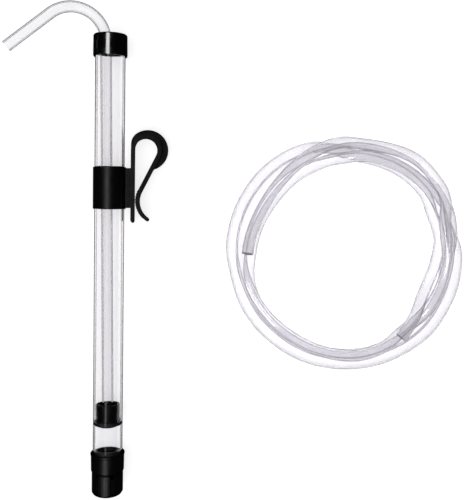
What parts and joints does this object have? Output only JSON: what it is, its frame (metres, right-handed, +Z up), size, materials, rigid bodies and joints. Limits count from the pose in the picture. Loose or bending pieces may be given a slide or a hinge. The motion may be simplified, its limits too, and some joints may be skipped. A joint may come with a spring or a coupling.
{
  "type": "gravel vacuum siphon",
  "caption": "Stroke-pump siphon for tanks: clear barrel with foot valve and clip, sliding bent cane with piston, and a coiled clear hose.",
  "frame": {"origin": "on the surface that the pump lies on, under the middle of the pump without its hose", "axes": "+Y along the barrel towards the cap and hook, +X towards the clip and the hose coil, +Z up from the surface"},
  "size_m": [0.3946, 0.4228, 0.0352],
  "materials": {
    "clear_plastic": "clear rigid tube, polished",
    "black_plastic": "moulded, satin gloss",
    "black_rubber": "soft matt rubber",
    "clear_vinyl": "clear flexible hose, slightly milky"
  },
  "bodies": {
    "barrel": {"outer_tube_lower": "clear_plastic", "outer_tube_upper": "clear_plastic", "top_cap": "black_plastic", "foot_collar": "black_plastic", "valve_plug": "black_plastic", "valve_cage": "black_plastic"},
    "seal": {"piston_seal": "black_rubber"},
    "cane": {"racking_cane": "clear_plastic", "piston_hub": "black_plastic"},
    "valve": {"valve_disc": "black_rubber"},
    "cup": {"sediment_cup": "black_plastic"},
    "clip": {"clip_body": "black_plastic"},
    "clip_spring": {"clip_arm": "black_plastic"},
    "hose": {"hose_coil": "clear_vinyl"}
  },
  "joints": [
    {"name": "pump_stroke", "type": "slide", "parent": "barrel", "child": "seal", "axis": [0, 1, 0], "range_m": [0, 0.312]},
    {"name": "cane_turn", "type": "hinge", "parent": "seal", "child": "cane", "pos_m": [0.01857, -0.15138, 0.01478], "axis": [-0.011, 0.9999, 0.0021], "continuous": true},
    {"name": "valve_lift", "type": "slide", "parent": "barrel", "child": "valve", "axis": [0, 1, 0], "range_m": [0, 0.0035]},
    {"name": "cup_pull", "type": "slide", "parent": "barrel", "child": "cup", "axis": [0, -1, 0], "range_m": [0, 0.03]},
    {"name": "clip_slide", "type": "slide", "parent": "barrel", "child": "clip", "axis": [0, 1, 0], "range_m": [-0.211, 0.092]},
    {"name": "clip_flex", "type": "hinge", "parent": "clip", "child": "clip_spring", "pos_m": [0.03798, 0.08732, 0.01115], "axis": [0.184, 0, 0.9829], "range_deg": [0, 9], "stiffness_Nm_per_rad": 0.5},
    {"name": "hose_aside", "type": "slide", "parent": "barrel", "child": "hose", "axis": [1, 0, 0], "range_m": [0, 0.15]}
  ]
}
